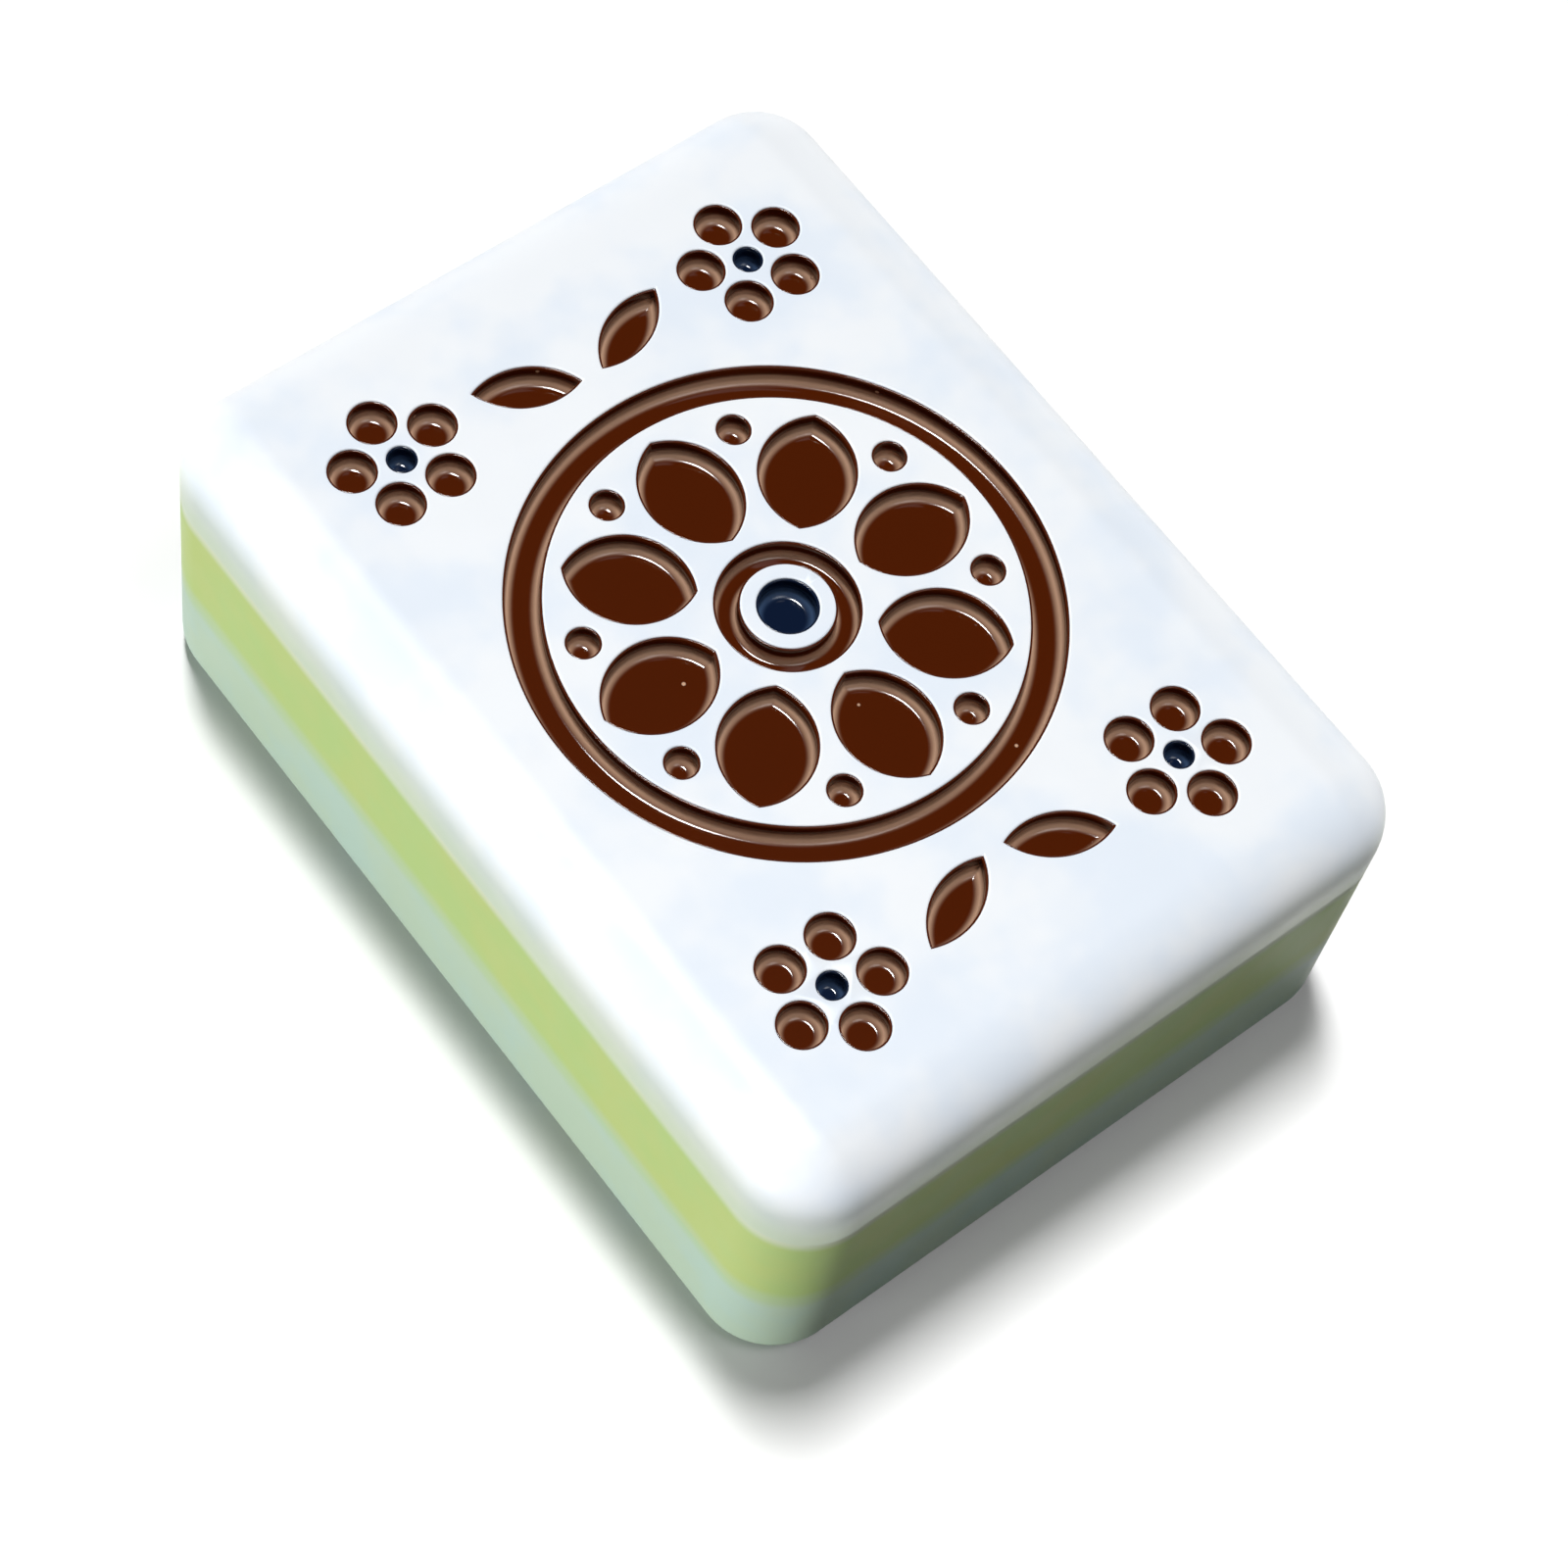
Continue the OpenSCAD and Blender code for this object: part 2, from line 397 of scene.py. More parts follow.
def cut_section(settings):
    """The side of a cutter: an upright wall, a rim rounded nearly to flat, a slope that runs on in line with
    it until it is over the face, and an upright end that stands clear of the block."""
    rim = settings.sizes.rim_r
    rim_end = 75
    over = 0.004 * MM
    clear = 0.3 * MM
    side = [(0.0, RECESS_Z)]
    side += [(-rim + x, z) for x, z in arc((0, FACE_Z - rim), rim, 0, rim_end, RIM_STEPS)]
    last_x, last_z = side[-1]
    rise = FACE_Z + over - last_z
    side.append((last_x - rise * math.tan(math.radians(rim_end)), last_z + rise))
    side.append((side[-1][0], FACE_Z + clear))
    return side


def paint_section(settings, room):
    """The side of a pool of paint: up the wall, over its rounded top, and down a hollow bank to the floor.
    Room is the distance from the wall to the middle of the recess, of which the bank takes at most a share.
    The points that hold the bank's ends keep its shading off the flat wall and floor."""
    paint = settings.paint
    most_share = 0.6
    hold = 0.02 * MM
    floor_z = RECESS_Z + paint.floor_t
    film = paint.wall_t
    bank = min(paint.bank, (room - film) * most_share)
    side = [(0.0, RECESS_Z), (0.0, PAINT_TOP_Z - film / 2)]
    side += arc((film / 2, PAINT_TOP_Z - film / 2), film / 2, 180, 0, RIM_STEPS)[1:]
    side.append((film, floor_z + bank + hold))
    side += arc((film + bank, floor_z + bank), bank, 180, 270, BANK_STEPS)
    side.append((film + bank + hold, floor_z))
    return side


def round_recess(name, side, radius, steps=DOT_STEPS, middle_y=0.0):
    """A round recess or pool with this side, closed across its top or floor and its bottom."""
    section = [(0.0, side[0][1])]
    section += [(radius - x, z) for x, z in side]
    section.append((0.0, side[-1][1]))
    return turned(name, section, steps, middle_y)


def ring_recess(name, side, outer, width, steps):
    """A ring-shaped recess or pool, whose inner side is the mirror of its outer side."""
    inner = outer - width
    section = [(outer - x, z) for x, z in side]
    section += [(inner + x, z) for x, z in reversed(side)]
    section.append(section[0])
    return turned(name, section, steps)


def lens_radius(half_length, half_width):
    """Radius of the two arcs that make a pointed oval of this size."""
    return (half_length ** 2 + half_width ** 2) / (2 * half_width)


def lens_recess(name, side, half_length, half_width):
    """A pointed oval recess or pool along X: a large round one, of which one edge is kept and mirrored."""
    radius = lens_radius(half_length, half_width)
    piece = round_recess(name, side, radius, LENS_STEPS, half_width - radius)
    bpy.ops.object.mode_set(mode="EDIT")
    bpy.ops.mesh.select_all(action="SELECT")
    bpy.ops.mesh.symmetrize(direction="POSITIVE_Y", threshold=SAME)
    close_mesh()
    return piece


# The design. Each function models one set of recesses or, where painted, of the pools of paint in them

def side_for(settings, painted, room):
    """The side of a pool where painted, and of a recess where not."""
    return paint_section(settings, room) if painted else cut_section(settings)


def outer_ring(settings, painted):
    """The ring round the medallion."""
    design = settings.design
    side = side_for(settings, painted, design.ring_w / 2)
    return ring_recess("outer_ring", side, design.medallion_r, design.ring_w, RING_STEPS)


def petal_span(design):
    """Radii at which a petal of the medallion starts and ends."""
    return design.hub_r + design.ridge_w, design.medallion_r - design.ring_w - design.ridge_w


def petal_sizes(design):
    """Middle radius, half length and half width of a petal, which stays half a ridge inside its sector."""
    inner, outer = petal_span(design)
    angle = math.pi / design.petal_n
    middle = (inner + outer) / 2
    half_length = (outer - inner) / 2
    room = middle * math.sin(angle) - design.ridge_w / 2
    reach = half_length * math.sin(angle)
    half_width = (room + math.sqrt(room * room - reach * reach)) / (1 + math.cos(angle))
    return middle, half_length, half_width


def petals(settings, painted):
    """The medallion's petals."""
    design = settings.design
    middle, half_length, half_width = petal_sizes(design)
    side = side_for(settings, painted, half_width)
    piece = lens_recess("petals", side, half_length, half_width)
    place(piece, middle, 0)
    copy_around(piece, design.petal_n)
    return piece


def beads(settings, painted):
    """The round beads between the petals' tips, a ridge away from the petals and the ring."""
    design = settings.design
    middle, half_length, half_width = petal_sizes(design)
    angle = math.pi / design.petal_n
    petal_arc = lens_radius(half_length, half_width)
    along = middle * math.cos(angle) - (petal_arc - half_width) * math.sin(angle)
    outer = petal_span(design)[1]
    run = outer - along
    aside = petal_arc + design.ridge_w / 2
    apart = petal_arc + design.ridge_w
    radius = (run ** 2 + aside ** 2 - apart ** 2) / (2 * (run + apart))
    piece = round_recess("beads", side_for(settings, painted, radius), radius)
    place(piece, (outer - radius) * math.cos(angle), (outer - radius) * math.sin(angle))
    copy_around(piece, design.petal_n)
    return piece


def hub_ring(settings, painted):
    """The ring round the hub."""
    design = settings.design
    side = side_for(settings, painted, design.hub_ring_w / 2)
    return ring_recess("hub_ring", side, design.hub_r, design.hub_ring_w, HUB_STEPS)


def centre_dot(settings, painted):
    """The dot in the middle of the hub."""
    radius = settings.design.dot_r
    return round_recess("centre_dot", side_for(settings, painted, radius), radius)


def blossom_petal_middle(design):
    """Distance from a blossom's middle to a petal's, which keeps a ridge to the dot and the next petals."""
    from_dot = design.blossom_dot_r + design.blossom_ridge_w + design.blossom_petal_r
    half_gap = design.blossom_petal_r + design.blossom_ridge_w / 2
    return max(from_dot, half_gap / math.sin(math.pi / design.blossom_petal_n))


def leaf_sizes(design):
    """Half length of a leaf, the distance from the long axis to its middle, and the height of its row.
    A leaf keeps half a gap to the long axis, as its neighbour does, and a whole one to the blossom."""
    blossom_r = blossom_petal_middle(design) + design.blossom_petal_r
    run = design.blossom_spread / 2 - blossom_r - 1.5 * design.leaf_gap
    length = run / math.cos(design.leaf_lean)
    half_height = (length * math.sin(design.leaf_lean) + design.leaf_w) / 2
    middle_x = (design.leaf_gap + run) / 2
    row_y = design.medallion_r + design.medallion_gap + half_height
    return length / 2, middle_x, row_y


def blossom_petals(settings, painted):
    """The round petals of the four blossoms."""
    design = settings.design
    radius = design.blossom_petal_r
    piece = round_recess("blossom_petals", side_for(settings, painted, radius), radius)
    place(piece, 0, blossom_petal_middle(design))
    copy_around(piece, design.blossom_petal_n)
    place(piece, design.blossom_spread / 2, leaf_sizes(design)[2])
    copy_to_quarters(piece)
    return piece


def blossom_dots(settings, painted):
    """The dots in the middles of the four blossoms."""
    design = settings.design
    radius = design.blossom_dot_r
    piece = round_recess("blossom_dots", side_for(settings, painted, radius), radius)
    place(piece, design.blossom_spread / 2, leaf_sizes(design)[2])
    copy_to_quarters(piece)
    return piece


def leaves(settings, painted):
    """The four leaves between the blossoms."""
    design = settings.design
    half_length, middle_x, row_y = leaf_sizes(design)
    side = side_for(settings, painted, design.leaf_w / 2)
    piece = lens_recess("leaves", side, half_length, design.leaf_w / 2)
    place(piece, middle_x, row_y, design.leaf_lean)
    copy_to_quarters(piece)
    return piece


RECESSES = (outer_ring, petals, beads, hub_ring, centre_dot, blossom_petals, blossom_dots, leaves)


def layer_block(name, sizes, bottom, top):
    """One layer of the block: the whole block is rounded, and cut flat at the layer's bottom and top."""
    low, high = cad_low, cad_high
    piece = new_mesh(
        name, bpy.ops.mesh.primitive_cube_add, size=1, location=(low + high) / 2, scale=high - low)
    select_edges(lambda a, b: abs(a.z - b.z) > SAME)
    bpy.ops.mesh.bevel(
        offset=sizes.corner_r, segments=EDGE_STEPS, profile=ARC_PROFILE, affect="EDGES")
    select_edges(lambda a, b: min(a.z, b.z) > high.z - SAME)
    bpy.ops.mesh.bevel(
        offset=sizes.face_edge_r, segments=EDGE_STEPS, profile=EASED_PROFILE, affect="EDGES")
    select_edges(lambda a, b: max(a.z, b.z) < low.z + SAME)
    bpy.ops.mesh.bevel(
        offset=sizes.back_edge_r, segments=BACK_EDGE_STEPS, profile=ARC_PROFILE, affect="EDGES")
    for height, is_bottom in ((bottom, True), (top, False)):
        if low.z + SAME < height < high.z - SAME:
            bpy.ops.mesh.select_all(action="SELECT")
            bpy.ops.mesh.bisect(
                plane_co=(0, 0, height), plane_no=(0, 0, 1), threshold=SAME,
                clear_inner=is_bottom, clear_outer=not is_bottom)
            select_edges(lambda a, b: abs(a.z - height) < SAME and abs(b.z - height) < SAME)
            bpy.ops.mesh.edge_face_add()
            bpy.ops.mesh.mark_sharp()
    close_mesh()
    return piece


# Materials

def add_node(tree, kind, settings, links=()):
    """Adds a node with these settings, for its inputs or itself, and links (input, source socket) to it."""
    node = tree.nodes.new(kind)
    for key, value in settings.items():
        if key in node.inputs:
            node.inputs[key].default_value = value
        else:
            setattr(node, key, value)
    for key, source in links:
        tree.links.new(source, node.inputs[key])
    return node


def new_material(name):
    """An empty node material and its tree."""
    material = bpy.data.materials.new(name)
    material.use_nodes = True
    material.node_tree.nodes.clear()
    return material, material.node_tree


def finish_material(tree, shader):
    """Sends a shader to the material's surface."""
    add_node(tree, "ShaderNodeOutputMaterial", {}, [("Surface", shader.outputs[0])])


def opaque(colour):
    """A colour with full alpha, as a node's socket takes it."""
    return (*colour, 1.0)


def polished_resin(name, colour, cloud_colour, seams, gloss, scatter):
    """Moulded melamine, tumbled and polished: a clean gloss with a faint haze, clouds of pigment in the
    body, and a soft seam where the next layer shows through. Seams are (height, colour, reach), gloss is the
    share of mirror light, and scatter is how far the body under the polish evens out the light."""
    cloud_size = 3.5 * MM
    # A tumbled polish has finer haze than this, drawn as coarse as it needs to be to show
    haze_size = 1.2 * MM
    ripple_height = 0.0006 * MM
    clear_rough = 0.28
    hazy_rough = 0.36
    share_at_seam = 0.5
    material, tree = new_material(name)
    place_of = add_node(tree, "ShaderNodeTexCoord", {})
    clouds = add_node(
        tree, "ShaderNodeTexNoise", {"Scale": 1 / cloud_size, "Detail": 3.0, "Roughness": 0.55},
        [("Vector", place_of.outputs["Object"])])
    depth = add_node(
        tree, "ShaderNodeMapRange", {"From Min": 0.38, "From Max": 0.66, "interpolation_type": "SMOOTHSTEP"},
        [("Value", clouds.outputs["Fac"])])
    body = add_node(
        tree, "ShaderNodeMix", {"data_type": "RGBA", "A": opaque(colour), "B": opaque(cloud_colour)},
        [("Factor", depth.outputs["Result"])])
    shade = body.outputs["Result"]
    height = add_node(tree, "ShaderNodeSeparateXYZ", {}, [("Vector", place_of.outputs["Object"])])
    for seam_z, seam_colour, reach in seams:
        near = add_node(
            tree, "ShaderNodeMapRange",
            {"From Min": seam_z, "From Max": seam_z + reach, "To Min": share_at_seam, "To Max": 0.0,
             "interpolation_type": "SMOOTHSTEP"},
            [("Value", height.outputs["Z"])])
        bleed = add_node(
            tree, "ShaderNodeMix", {"data_type": "RGBA", "B": opaque(seam_colour)},
            [("Factor", near.outputs["Result"]), ("A", shade)])
        shade = bleed.outputs["Result"]
    haze = add_node(
        tree, "ShaderNodeTexNoise", {"Scale": 1 / haze_size, "Detail": 1.0},
        [("Vector", place_of.outputs["Object"])])
    polish = add_node(
        tree, "ShaderNodeMapRange",
        {"From Min": 0.3, "From Max": 0.7, "To Min": clear_rough, "To Max": hazy_rough},
        [("Value", haze.outputs["Fac"])])
    ripple = add_node(
        tree, "ShaderNodeBump", {"Strength": 1.0, "Distance": ripple_height},
        [("Height", haze.outputs["Fac"])])
    shader = add_node(
        tree, "ShaderNodeBsdfPrincipled",
        {"IOR": 1.5, "Specular IOR Level": gloss, "Diffuse Roughness": scatter},
        [("Base Color", shade), ("Roughness", polish.outputs["Result"]),
         ("Normal", ripple.outputs["Normal"])])
    finish_material(tree, shader)
    return material


def enamel(name, colour, thin_and_highlight_colour, paint):
    """Gloss enamel that has flowed into a recess: deep and even on the floor, thinner, lighter and duller
    where it climbs the bank, deep again on the wall, with faint waves and a few raised specks of dust.
    The lighter colour on the bank is partly thin paint over white and partly a painted highlight, and the
    specks take that colour too, as painted glints."""
    speck_spacing = 1.6 * MM
    speck_height = 0.03 * MM
    # Outer and inner radius of a speck, as shares of the spacing
    speck_edge = 0.045
    speck_core = 0.03
    wave_size = 0.9 * MM
    wave_height = 0.002 * MM
    thick_rough = 0.08
    thin_rough = 0.45
    material, tree = new_material(name)
    place_of = add_node(tree, "ShaderNodeTexCoord", {})
    height = add_node(tree, "ShaderNodeSeparateXYZ", {}, [("Vector", place_of.outputs["Object"])])
    floor_z = RECESS_Z + paint.floor_t
    climb = add_node(
        tree, "ShaderNodeMapRange", {"From Min": floor_z, "From Max": PAINT_TOP_Z},
        [("Value", height.outputs["Z"])])
    thinness_and_highlight_ramp = add_node(tree, "ShaderNodeValToRGB", {}, [("Fac", climb.outputs["Result"])])
    ramp = thinness_and_highlight_ramp.color_ramp
    # Share of the climb from the floor to the paint's top, and how thin the paint lies there, which is also
    # how much painted highlight shows on the bank
    stops = ((0.0, 0.0), (0.03, 0.35), (0.12, 1.0), (0.3, 0.85), (0.45, 0.0))
    while len(ramp.elements) < len(stops):
        ramp.elements.new(0.5)
    for element, (position, thinness_and_highlight) in zip(ramp.elements, stops):
        element.position = position
        element.color = opaque((thinness_and_highlight, thinness_and_highlight, thinness_and_highlight))
    # Where the ramp is high the paint turns to the light colour: thin paint over white, and a painted
    # highlight on the bank
    bank_tint_and_highlight = add_node(
        tree, "ShaderNodeMix", {"data_type": "RGBA", "A": opaque(colour), "B": opaque(thin_and_highlight_colour)},
        [("Factor", thinness_and_highlight_ramp.outputs["Color"])])
    specks = add_node(
        tree, "ShaderNodeTexVoronoi", {"Scale": 1 / speck_spacing, "Randomness": 1.0},
        [("Vector", place_of.outputs["Object"])])
    speck = add_node(
        tree, "ShaderNodeMapRange", {"From Min": speck_edge, "From Max": speck_core},
        [("Value", specks.outputs["Distance"])])
    # Specks take the light bank colour: raised dust, whose light colour is a painted glint
    dust_and_glint = add_node(
        tree, "ShaderNodeMix", {"data_type": "RGBA", "B": opaque(thin_and_highlight_colour)},
        [("Factor", speck.outputs["Result"]), ("A", bank_tint_and_highlight.outputs["Result"])])
    flow = add_node(
        tree, "ShaderNodeTexNoise", {"Scale": 1 / wave_size, "Detail": 2.0},
        [("Vector", place_of.outputs["Object"])])
    sheen = add_node(
        tree, "ShaderNodeMapRange", {"To Min": thick_rough, "To Max": thin_rough},
        [("Value", thinness_and_highlight_ramp.outputs["Color"])])
    waves = add_node(
        tree, "ShaderNodeBump", {"Strength": 1.0, "Distance": wave_height},
        [("Height", flow.outputs["Fac"])])
    dust = add_node(
        tree, "ShaderNodeBump", {"Strength": 1.0, "Distance": speck_height},
        [("Height", speck.outputs["Result"]), ("Normal", waves.outputs["Normal"])])
    shader = add_node(
        tree, "ShaderNodeBsdfPrincipled", {"IOR": 1.45},
        [("Base Color", dust_and_glint.outputs["Result"]), ("Roughness", sheen.outputs["Result"]),
         ("Normal", dust.outputs["Normal"])])
    finish_material(tree, shader)
    return material


def seen_rays(tree):
    """A socket that is 1 for what is seen straight, mirrored or through glass, and 0 for other light."""
    ray = add_node(tree, "ShaderNodeLightPath", {})
    straight = add_node(
        tree, "ShaderNodeMath", {"operation": "MAXIMUM"},
        [(0, ray.outputs["Is Camera Ray"]), (1, ray.outputs["Is Glossy Ray"])])
    seen = add_node(
        tree, "ShaderNodeMath", {"operation": "MAXIMUM"},
        [(0, straight.outputs["Value"]), (1, ray.outputs["Is Transmission Ray"])])
    return seen.outputs["Value"]


def matt_floor(name, colour):
    """Matt white board: white to the eye and in reflections, and dark in the light that it gives back, so
    that the tile's shaded side stays in the shade."""
    share_given_back = 0.1
    material, tree = new_material(name)
    given_back = tuple(share_given_back * c for c in colour)
    shade = add_node(
        tree, "ShaderNodeMix", {"data_type": "RGBA", "A": opaque(given_back), "B": opaque(colour)},
        [("Factor", seen_rays(tree))])
    shader = add_node(
        tree, "ShaderNodeBsdfDiffuse", {"Roughness": 0.5}, [("Color", shade.outputs["Result"])])
    finish_material(tree, shader)
    return material


def dress(piece, material, slot, *nodes):
    """Gives a piece its finish, puts it under the CAD body, and hides the CAD nodes that it stands for."""
    piece.data.materials.clear()
    piece.data.materials.append(material)
    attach(piece, "root")
    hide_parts(*nodes)


def paint_pools(settings, recess, node, material, slot):
    """Models the pools of one set of recesses, and dresses them as the CAD node that they stand for."""
    piece = recess(settings, painted=True)
    piece.name = node + "_pools"
    piece.data.name = piece.name
    smooth(piece)
    dress(piece, material, slot, node)


def brown_enamel(settings):
    """The brown paint, made once."""
    name = "brown gloss enamel"
    colours = settings.colours
    return bpy.data.materials.get(name) or enamel(name, colours.brown, colours.thin_brown_and_highlight, settings.paint)


def navy_enamel(settings):
    """The navy paint, made once."""
    name = "navy gloss enamel"
    colours = settings.colours
    return bpy.data.materials.get(name) or enamel(name, colours.navy, colours.thin_navy_and_highlight, settings.paint)


class MAHJONG_OT_face_layer(bpy.types.Operator):
    """Model the white layer, and cut the engraving into its face"""

    bl_idname = "mahjong.face_layer"
    bl_label = "Face layer"

    def execute(self, context):
        settings = context.scene.mahjong_tile
        colours = settings.colours
        piece = layer_block("face_layer_engraved", settings.sizes, FACE_SEAM_Z, FACE_Z)
        cutter = join([recess(settings, painted=False) for recess in RECESSES], "recess_cutter")
        apply_modifier(piece, "BOOLEAN", operation="DIFFERENCE", solver="EXACT", object=cutter)
        bpy.data.objects.remove(cutter)
        smooth(piece)
        seams = [(FACE_SEAM_Z, colours.lime, LIME_IN_WHITE)]
        resin = polished_resin(
            "polished white melamine", colours.white, colours.cool_white, seams, gloss=0.2, scatter=0.5)
        dress(piece, resin, "face_resin", "face_layer")
        return {"FINISHED"}


class MAHJONG_OT_coloured_layers(bpy.types.Operator):
    """Model the lime middle layer and the mint back layer"""

    bl_idname = "mahjong.coloured_layers"
    bl_label = "Middle and back layers"

    def execute(self, context):
        settings = context.scene.mahjong_tile
        colours = settings.colours
        middle = layer_block("middle_layer_band", settings.sizes, BACK_SEAM_Z, FACE_SEAM_Z)
        smooth(middle)
        seams = [(FACE_SEAM_Z, colours.white, WHITE_IN_LIME), (BACK_SEAM_Z, colours.mint, MINT_IN_LIME)]
        resin = polished_resin(
            "polished lime melamine", colours.lime, colours.yellow_lime, seams, gloss=0.02, scatter=0.0)
        dress(middle, resin, "middle_resin", "middle_layer")
        back = layer_block("back_layer_block", settings.sizes, cad_low.z, BACK_SEAM_Z)
        smooth(back)
        seams = [(BACK_SEAM_Z, colours.lime, LIME_IN_MINT)]
        resin = polished_resin(
            "polished mint melamine", colours.mint, colours.aqua_mint, seams, gloss=0.02, scatter=0.0)
        dress(back, resin, "back_resin", "back_layer")
        return {"FINISHED"}


class MAHJONG_OT_medallion_paint(bpy.types.Operator):
    """Model the paint in the medallion's rings, petals, beads and centre dot"""

    bl_idname = "mahjong.medallion_paint"
    bl_label = "Medallion paint"

    def execute(self, context):
        settings = context.scene.mahjong_tile
        brown = brown_enamel(settings)
        paint_pools(settings, outer_ring, "outer_ring_paint", brown, "brown_paint")
        paint_pools(settings, petals, "petal_paint", brown, "brown_paint")
        paint_pools(settings, beads, "bead_paint", brown, "brown_paint")
        paint_pools(settings, hub_ring, "hub_ring_paint", brown, "brown_paint")
        paint_pools(settings, centre_dot, "centre_dot_paint", navy_enamel(settings), "navy_paint")
        return {"FINISHED"}


class MAHJONG_OT_blossom_paint(bpy.types.Operator):
    """Model the paint in the blossoms' petals and dots"""

    bl_idname = "mahjong.blossom_paint"
    bl_label = "Blossom paint"

    def execute(self, context):
        settings = context.scene.mahjong_tile
        paint_pools(settings, blossom_petals, "blossom_paint", brown_enamel(settings), "brown_paint")
        paint_pools(settings, blossom_dots, "blossom_dot_paint", navy_enamel(settings), "navy_paint")
        return {"FINISHED"}


class MAHJONG_OT_leaf_paint(bpy.types.Operator):
    """Model the paint in the leaves"""

    bl_idname = "mahjong.leaf_paint"
    bl_label = "Leaf paint"

    def execute(self, context):
        settings = context.scene.mahjong_tile
        paint_pools(settings, leaves, "leaf_paint", brown_enamel(settings), "brown_paint")
        return {"FINISHED"}


def add_soft_box(name, level, size, towards):
    """A soft box in this direction, which lights a surface that faces it to this level, where 1 shows a
    colour as it is. Its size is its width and its length, which runs up and down."""
    distance = 5.0
    bpy.ops.object.select_all(action="DESELECT")
    direction = Vector(towards).normalized()
    bpy.ops.object.light_add(type="AREA", location=direction * distance)
    lamp = bpy.context.object
    lamp.name = name
    lamp.rotation_euler = direction.to_track_quat("Z", "Y").to_euler()
    lamp.data.shape = "RECTANGLE"
    lamp.data.size, lamp.data.size_y = size
    lamp.data.energy = level * (math.pi * distance) ** 2


def add_floor(colour):
    """A broad plain floor, which lies a hair under the tile so that the two don't share a plane."""
    size = 8
    gap = 0.01 * MM
    floor = new_mesh(
        "floor", bpy.ops.mesh.primitive_plane_add, size=size, location=(0, 0, cad_low.z - gap))
    bpy.ops.object.mode_set(mode="OBJECT")
    floor.data.materials.append(matt_floor("matt white board", colour))


def add_room(scene, strength):
    """A dim room, whose horizon is white to the eye and in reflections, and lights nothing. The white is
    full up to one height and gone at another, where 1 is straight up."""
    full = 0.2
    gone = 0.3
    world = bpy.data.worlds.new("dim room")
    scene.world = world
    world.use_nodes = True
    tree = world.node_tree
    tree.nodes.clear()
    place_of = add_node(tree, "ShaderNodeTexCoord", {})
    direction = add_node(tree, "ShaderNodeSeparateXYZ", {}, [("Vector", place_of.outputs["Generated"])])
    horizon = add_node(
        tree, "ShaderNodeMapRange", {"From Min": gone, "From Max": full},
        [("Value", direction.outputs["Z"])])
    seen_horizon = add_node(
        tree, "ShaderNodeMath", {"operation": "MULTIPLY"},
        [(0, horizon.outputs["Result"]), (1, seen_rays(tree))])
    glow = add_node(
        tree, "ShaderNodeMapRange", {"To Min": strength, "To Max": 1.0},
        [("Value", seen_horizon.outputs["Value"])])
    room = add_node(
        tree, "ShaderNodeBackground", {"Color": (1, 1, 1, 1)}, [("Strength", glow.outputs["Result"])])
    add_node(tree, "ShaderNodeOutputWorld", {}, [("Surface", room.outputs[0])])


def add_camera(scene, stage):
    """The scene's camera, which looks at a point on the floor from the bearing and height that are set."""
    bpy.ops.object.camera_add()
    camera = bpy.context.object
    camera.name = "camera"
    camera.data.lens = stage.lens
    camera.data.sensor_width = 36
    camera.data.clip_start = 1 * MM
    camera.data.clip_end = 20
    flat = math.cos(stage.elevation)
    back = Vector((
        math.sin(stage.azimuth) * flat, -math.cos(stage.azimuth) * flat, math.sin(stage.elevation)))
    turn = back.to_track_quat("Z", "Y").to_matrix() @ Matrix.Rotation(stage.roll, 3, "Z")
    camera.matrix_world = Matrix.Translation(Vector(stage.aim) + back * stage.distance) @ turn.to_4x4()
    scene.camera = camera


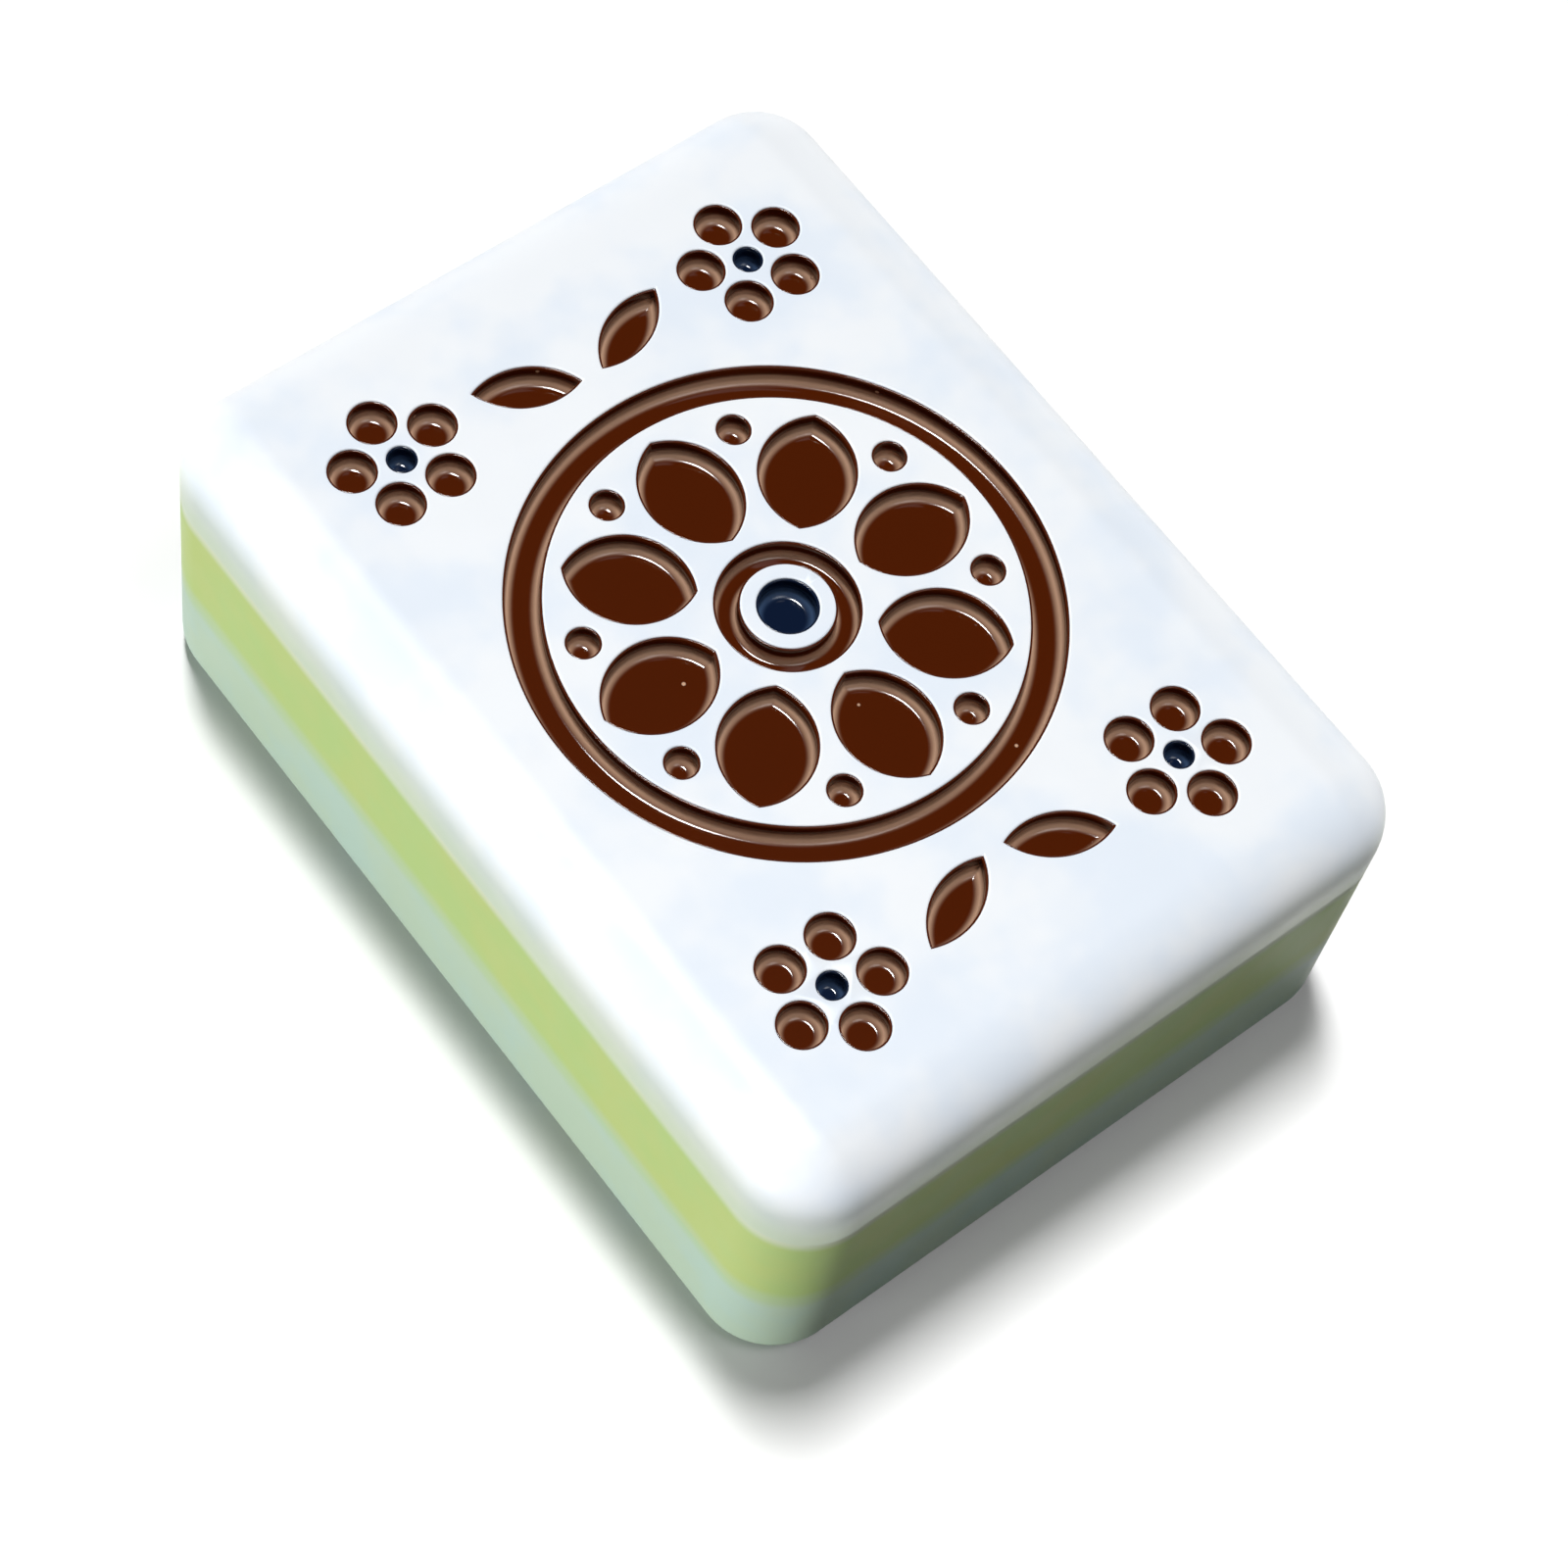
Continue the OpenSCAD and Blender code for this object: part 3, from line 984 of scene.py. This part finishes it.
class MAHJONG_OT_stage(bpy.types.Operator):
    """Make the floor, the room, the lamps and the camera"""

    bl_idname = "mahjong.stage"
    bl_label = "Stage"

    def execute(self, context):
        scene = context.scene
        settings = scene.mahjong_tile
        stage = settings.stage
        add_floor(settings.colours.floor)
        add_room(scene, stage.room)
        add_soft_box("overhead_soft_box", stage.key, size=(0.5, 1.2), towards=(0.09, 0.20, 0.97))
        add_soft_box("left_window", stage.window, size=(2.4, 0.6), towards=(-0.995, 0.06, 0.06))
        add_soft_box("front_glint", stage.glint, size=(1.8, 1.8), towards=(0.12, -0.32, 0.94))
        add_camera(scene, stage)
        scene.view_settings.view_transform = "Standard"
        return {"FINISHED"}


class MAHJONG_PT_tile(bpy.types.Panel):
    """Sizes and colours of the tile, and the steps that make it"""

    bl_label = "Mahjong tile"
    bl_space_type = "VIEW_3D"
    bl_region_type = "UI"
    bl_category = "Tile"

    def draw(self, context):
        settings = context.scene.mahjong_tile
        for group in (settings.sizes, settings.design, settings.paint, settings.colours, settings.stage):
            box = self.layout.box()
            for key in group.__annotations__:
                box.prop(group, key)
        for operator in OPERATORS:
            self.layout.operator(operator.bl_idname)


GROUPS = (TileSizes, DesignSizes, PaintSizes, TileColours, StageSettings, TileSettings)
OPERATORS = (
    MAHJONG_OT_face_layer, MAHJONG_OT_coloured_layers, MAHJONG_OT_medallion_paint,
    MAHJONG_OT_blossom_paint, MAHJONG_OT_leaf_paint, MAHJONG_OT_stage)
CLASSES = (*GROUPS, *OPERATORS, MAHJONG_PT_tile)


def register():
    """Registers the settings, the operators and the panel."""
    for cls in CLASSES:
        bpy.utils.register_class(cls)
    bpy.types.Scene.mahjong_tile = PointerProperty(type=TileSettings)


def unregister():
    """Takes the panel, the operators and the settings out again."""
    del bpy.types.Scene.mahjong_tile
    for cls in reversed(CLASSES):
        bpy.utils.unregister_class(cls)


def main():
    """Makes the tile and its stage."""
    register()
    bpy.ops.mahjong.face_layer()
    bpy.ops.mahjong.coloured_layers()
    bpy.ops.mahjong.medallion_paint()
    bpy.ops.mahjong.blossom_paint()
    bpy.ops.mahjong.leaf_paint()
    bpy.ops.mahjong.stage()


if __name__ == "__main__":
    main()
